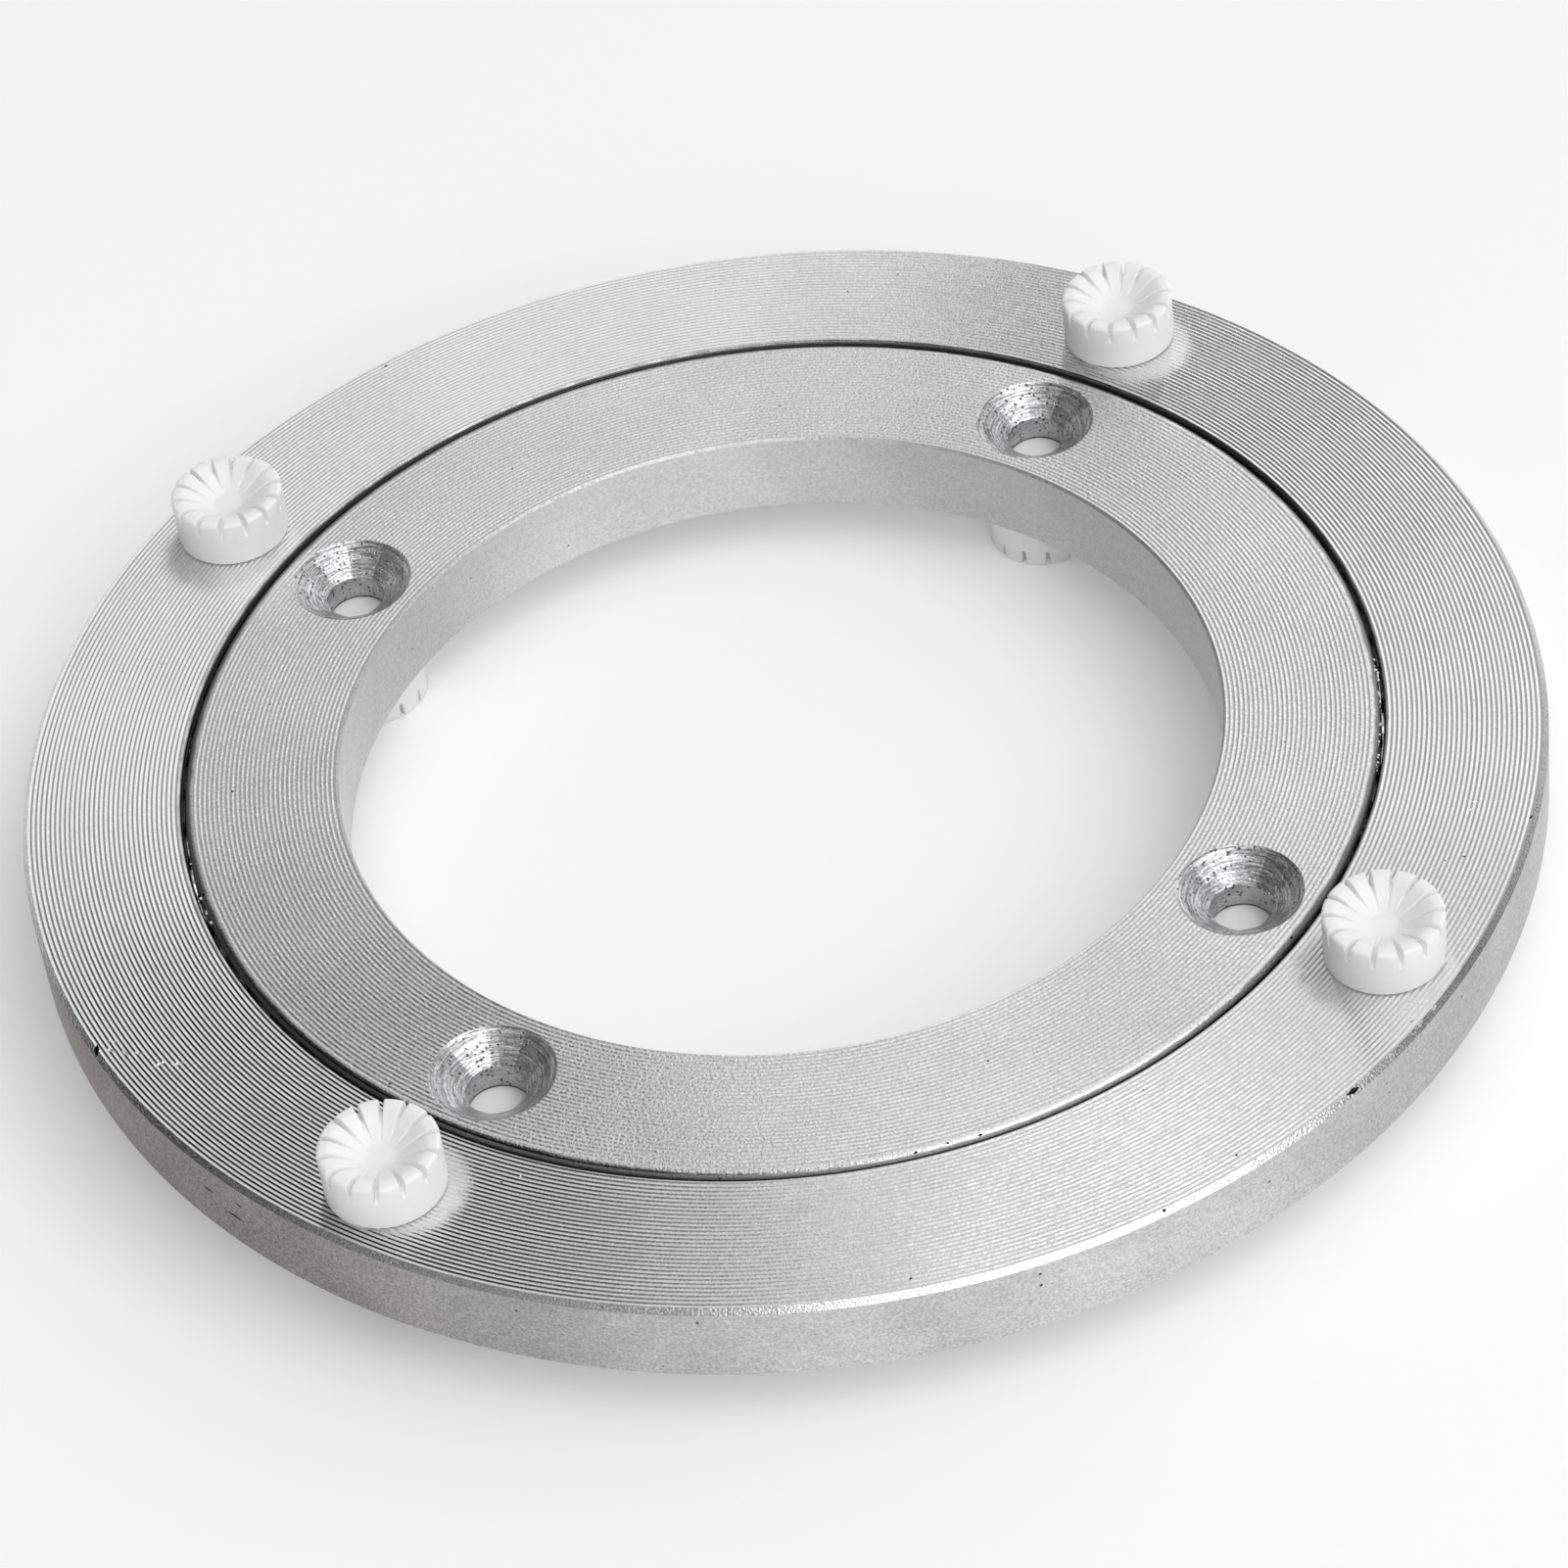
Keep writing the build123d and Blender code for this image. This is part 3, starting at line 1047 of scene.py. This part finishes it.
class BEARING_OT_balls(bpy.types.Operator):
    """Make the circle of balls"""

    bl_idname = "bearing.balls"
    bl_label = "Balls"

    def execute(self, context):
        settings = context.scene.bearing_balls
        balls = grown(
            "steel_balls",
            None,
            ball_circle_tree(),
            ROUND_EDGE,
            count=settings.count,
            circle_radius=RACE_RADIUS,
            ball_radius=settings.radius,
            first_angle=settings.first_angle,
            height=RING_MIDDLE,
            steel=steel_finish("ball_steel", settings.steel, 0.06),
        )
        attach(balls, "ball_set")
        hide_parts("bearing_balls")
        return {"FINISHED"}


def eased(value):
    """Smooth step from 0 to 1."""
    value = min(1.0, max(0.0, value))
    return value * value * (3 - 2 * value)


def petal_top(settings, radius, across):
    """Drop below the pad's full height at a radius and at an angle from the nearest notch."""
    rim = settings.radius
    share = max(0.0, (radius - settings.dish_floor) / (rim - settings.dish_floor))
    slope = max(0.0, 1 - (radius - settings.dish_floor) / (rim - settings.land - settings.dish_floor))
    dish = settings.dish_depth * min(1.0, 0.55 * slope + 0.45 * eased(slope))
    over = max(0.0, radius - (rim - settings.edge))
    tip = settings.edge - sqrt(max(0.0, settings.edge**2 - over**2))
    crown = dish + tip
    notch = max(crown, dish + settings.notch_depth * share**2.2)
    beside = (across * rim - settings.notch_half) / settings.shoulder
    rise = 1 - (1 - min(1.0, max(0.0, beside))) ** 3
    return notch + (crown - notch) * rise


def pad_mesh(settings, height):
    """One pad: petals round a dish, a smooth round wall, and a stem with a domed end."""
    half_turn = pi / settings.petals
    shares = [*PETAL_SHARES, *(2.0 - share for share in reversed(PETAL_SHARES[1:-1]))]
    columns = []
    for petal in range(settings.petals):
        columns += [(half_turn * (2 * petal + share), half_turn * min(share, 2.0 - share)) for share in shares]
    work = bmesh.new()
    upright = Matrix.Identity(4)

    def row_of(radius, level=0.0, follow=0.0):
        """Points round the pad at a level, which may follow the petals' tops by a share."""
        row = []
        for turn, across in columns:
            top = height - petal_top(settings, radius, across) if follow else 0.0
            row.append(point_at(work, upright, radius, turn, top * follow + level))
        return row

    rim, edge, floor = settings.radius, settings.edge, settings.dish_floor
    dish = height - settings.dish_depth
    radii = [floor + (rim - edge - floor) * step / DISH_ROWS for step in range(DISH_ROWS + 1)]
    radii += [rim - edge + edge * sin(pi / 2 * step / EDGE_ROWS) for step in range(1, EDGE_ROWS + 1)]
    rows = [[work.verts.new((0, 0, dish))], row_of(floor * 0.6, dish)]
    rows += [row_of(radius, follow=1.0) for radius in radii]
    rows += [row_of(rim, WALL_BASE * down, 1 - down) for down in WALL_SHARES]
    stem, end = settings.stem_radius, -settings.stem_length
    below = [(rim, FOOT), (rim - FOOT, 0.0), (stem, 0.0)]
    for step in range(STEM_BEND_ROWS + 1):
        turn = pi / 2 * step / STEM_BEND_ROWS
        below.append((stem - STEM_BEND * (1 - cos(turn)), end + STEM_BEND * (1 - sin(turn))))
    below.append((stem * 0.5, end - 0.05 * MM))
    rows += [row_of(radius, level) for radius, level in below]
    rows.append([work.verts.new((0, 0, end - 0.06 * MM))])
    skin(work, rows)
    return closed_mesh("pad", work)


def pad_circle(name, first_pad, face, height, turned_over, spins, settings):
    """Four pads on one ring."""
    turns = {f"spin_{number}": radians(spin) for number, spin in enumerate(spins, start=1)}
    return grown(
        name,
        pad_mesh(settings, height),
        bpy.data.node_groups.get("Pad circle") or pad_circle_tree(),
        PAD_EDGE,
        circle_radius=first_pad.xy.length,
        first_angle=atan2(first_pad.y, first_pad.x),
        height=face,
        turned_over=turned_over,
        plastic=shared_finish("moulded_plastic", plastic_finish, settings.plastic),
        **turns,
    )


class BEARING_OT_top_pads(bpy.types.Operator):
    """Make the four pads on the outer ring"""

    bl_idname = "bearing.top_pads"
    bl_label = "Top Pads"

    def execute(self, context):
        settings = context.scene.bearing_pads
        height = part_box("top_pad_1")[1].z - RING_TOP
        pads = pad_circle("top_pads", TOP_PAD, RING_TOP, height, 0.0, TOP_SPINS, settings)
        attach(pads, "turntable")
        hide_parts("top_pad_1", "top_pad_2", "top_pad_3", "top_pad_4")
        return {"FINISHED"}


class BEARING_OT_bottom_pads(bpy.types.Operator):
    """Make the four pads under the inner ring"""

    bl_idname = "bearing.bottom_pads"
    bl_label = "Bottom Pads"

    def execute(self, context):
        settings = context.scene.bearing_pads
        height = RING_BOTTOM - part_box("bottom_pad_1")[0].z
        pads = pad_circle("bottom_pads", BOTTOM_PAD, RING_BOTTOM, height, pi, BOTTOM_SPINS, settings)
        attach(pads, "base")
        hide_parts("bottom_pad_1", "bottom_pad_2", "bottom_pad_3", "bottom_pad_4")
        return {"FINISHED"}


class BEARING_OT_plug(bpy.types.Operator):
    """Make the set screw that closes the loading hole"""

    bl_idname = "bearing.plug"
    bl_label = "Filling Plug"

    def execute(self, context):
        settings = context.scene.bearing_plug
        work = bmesh.new()
        place = along_plug(PLUG_END)
        length = PLUG_FACE - PLUG_END
        chamfer = settings.chamfer
        neck = PLUG_RADIUS - chamfer
        flat = settings.hexagon / 2
        body = [(0, 0.0), (neck, 0.0), (PLUG_RADIUS, chamfer), (PLUG_RADIUS, length - chamfer)]
        body += [(neck, length), (flat / cos(pi / 6) * 1.06, length)]
        rows = [circle_row(work, place, radius, height, PLUG_STEPS) for radius, height in body]
        floor = length - settings.hexagon_depth
        for height in (length - 0.12 * MM, floor):
            row = []
            for step in range(PLUG_STEPS):
                turn = 2 * pi * step / PLUG_STEPS
                radius = flat / cos((turn + pi / 6) % (pi / 3) - pi / 6)
                row.append(point_at(work, place, radius, turn, height))
            rows.append(row)
        rows.append(circle_row(work, place, 0, floor - 0.5 * MM, PLUG_STEPS))
        skin(work, rows)
        mesh = closed_mesh("plug_screw", work, steel_finish("screw_steel", settings.steel, 0.3))
        smooth(mesh, PLUG_EDGE)
        plug = new_piece("plug_screw", mesh)
        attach(plug, "turntable")
        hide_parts("filling_plug")
        return {"FINISHED"}


def paper_floor(settings):
    """Pale paper, whose faint glow keeps shadows light where they are seen."""
    finish, shader, place, _ = new_finish("floor_paper")
    path = add(place.tree, "ShaderNodeLightPath")
    seen = path["Is Camera Ray"] + path["Is Glossy Ray"] + path["Is Transmission Ray"]
    inputs = {
        "Base Color": toned(noise(place, 900.0, 2.0), settings.floor, 0.99, 1.01),
        "Roughness": 0.9,
        "Specular IOR Level": 0.1,
        "Emission Color": (1.0, 1.0, 1.0, 1.0),
        "Emission Strength": seen.maths("MINIMUM", 1.0) * settings.glow,
    }
    put(shader, inputs)
    corners = [(x * FLOOR_HALF, y * FLOOR_HALF, 0) for x, y in ((-1, -1), (1, -1), (1, 1), (-1, 1))]
    mesh = bpy.data.meshes.new("floor")
    mesh.from_pydata(corners, [], [(0, 1, 2, 3)])
    mesh.materials.append(finish)
    return new_piece("floor", mesh)


def studio_world(turn):
    """Dim studio with a pale wall behind, a pale ceiling at the right and a dark open side at the left."""
    world = bpy.data.worlds.new("studio")
    world.use_nodes = True
    look = add(world.node_tree, "ShaderNodeTexCoord")["Object"]
    white = (1.0, 1.0, 1.0)
    colour = opaque(white, STUDIO_LEVEL)
    for azimuth, elevation, full, faded, level in STUDIO_PATCHES:
        near = towards(look, direction(radians(azimuth) + turn, radians(elevation)))
        edges = cos(radians(faded)), cos(radians(full))
        colour = mixed(mapped(near, *edges, interpolation_type="SMOOTHSTEP"), colour, opaque(white, level))
    put(world.node_tree.nodes["Background"], {"Color": colour})
    return world


def softbox(name, azimuth, elevation, distance, side, radiance):
    """Square soft light that faces the part from a direction, with the brightness that its face shows."""
    light = bpy.data.lights.new(name, "AREA")
    light.shape = "SQUARE"
    light.size = side
    light.energy = radiance * pi * side**2
    back = direction(azimuth, elevation)
    lamp = bpy.data.objects.new(name, light)
    lamp.location = Vector((0, 0, RING_TOP)) + back * distance
    lamp.rotation_euler = back.to_track_quat("Z", "Y").to_euler()
    bpy.context.scene.collection.objects.link(lamp)


def fitted_camera(settings):
    """Camera with a long lens, in the place that the part is seen from."""
    camera = bpy.data.cameras.new("camera")
    camera.lens = settings.lens
    camera.sensor_width = 36.0
    camera.sensor_fit = "HORIZONTAL"
    camera.clip_start = 0.01
    camera.clip_end = 20.0
    viewer = bpy.data.objects.new("camera", camera)
    up = Vector((0, sin(settings.elevation), cos(settings.elevation)))
    back = Vector((0, -cos(settings.elevation), sin(settings.elevation)))
    level = Matrix((Vector((1, 0, 0)), up, back)).transposed()
    facing = Matrix.Rotation(settings.turn, 3, "Z") @ level @ Matrix.Rotation(settings.roll, 3, "Z")
    offset = facing @ Vector((settings.slide[0], settings.slide[1], settings.distance))
    viewer.matrix_world = Matrix.Translation(Vector((0, 0, RING_TOP)) + offset) @ facing.to_4x4()
    bpy.context.scene.collection.objects.link(viewer)
    return viewer


class BEARING_OT_stage(bpy.types.Operator):
    """Make the floor, the soft lights and the camera"""

    bl_idname = "bearing.stage"
    bl_label = "Stage"

    def execute(self, context):
        scene = context.scene
        settings = scene.bearing_stage
        scene.view_settings.view_transform = "Standard"
        floor = paper_floor(settings)
        scene.world = studio_world(settings.turn)
        azimuth = KEY_AZIMUTH + settings.turn
        softbox("key_softbox", azimuth, KEY_ELEVATION, distance=1.8, side=1.9, radiance=1.95)
        scene.camera = fitted_camera(settings)
        return {"FINISHED"}


class BEARING_PT_panel(bpy.types.Panel):
    """Lists the pieces of the bearing"""

    bl_idname = "BEARING_PT_panel"
    bl_label = "Turntable Bearing"
    bl_space_type = "VIEW_3D"
    bl_region_type = "UI"
    bl_category = "Bearing"

    def draw(self, context):
        for operator in OPERATORS:
            self.layout.operator(operator.bl_idname)
        for name, group in SETTINGS.items():
            box = self.layout.box()
            box.label(text=group.__name__)
            for key in group.__annotations__:
                box.prop(getattr(context.scene, name), key)


SETTINGS = {
    "bearing_rings": RingSettings,
    "bearing_pads": PadSettings,
    "bearing_balls": BallSettings,
    "bearing_plug": PlugSettings,
    "bearing_stage": StageSettings,
}
OPERATORS = (
    BEARING_OT_stage,
    BEARING_OT_inner_ring,
    BEARING_OT_outer_ring,
    BEARING_OT_beads,
    BEARING_OT_balls,
    BEARING_OT_plug,
    BEARING_OT_top_pads,
    BEARING_OT_bottom_pads,
)


def register():
    for group in SETTINGS.values():
        bpy.utils.register_class(group)
    for name, group in SETTINGS.items():
        setattr(bpy.types.Scene, name, PointerProperty(type=group))
    for operator in OPERATORS:
        bpy.utils.register_class(operator)
    bpy.utils.register_class(BEARING_PT_panel)


def unregister():
    bpy.utils.unregister_class(BEARING_PT_panel)
    for operator in reversed(OPERATORS):
        bpy.utils.unregister_class(operator)
    for name, group in SETTINGS.items():
        delattr(bpy.types.Scene, name)
        bpy.utils.unregister_class(group)


def main():
    register()
    bpy.ops.bearing.stage()
    bpy.ops.bearing.inner_ring()
    bpy.ops.bearing.outer_ring()
    bpy.ops.bearing.beads()
    bpy.ops.bearing.balls()
    bpy.ops.bearing.plug()
    bpy.ops.bearing.top_pads()
    bpy.ops.bearing.bottom_pads()


if __name__ == "__main__":
    main()
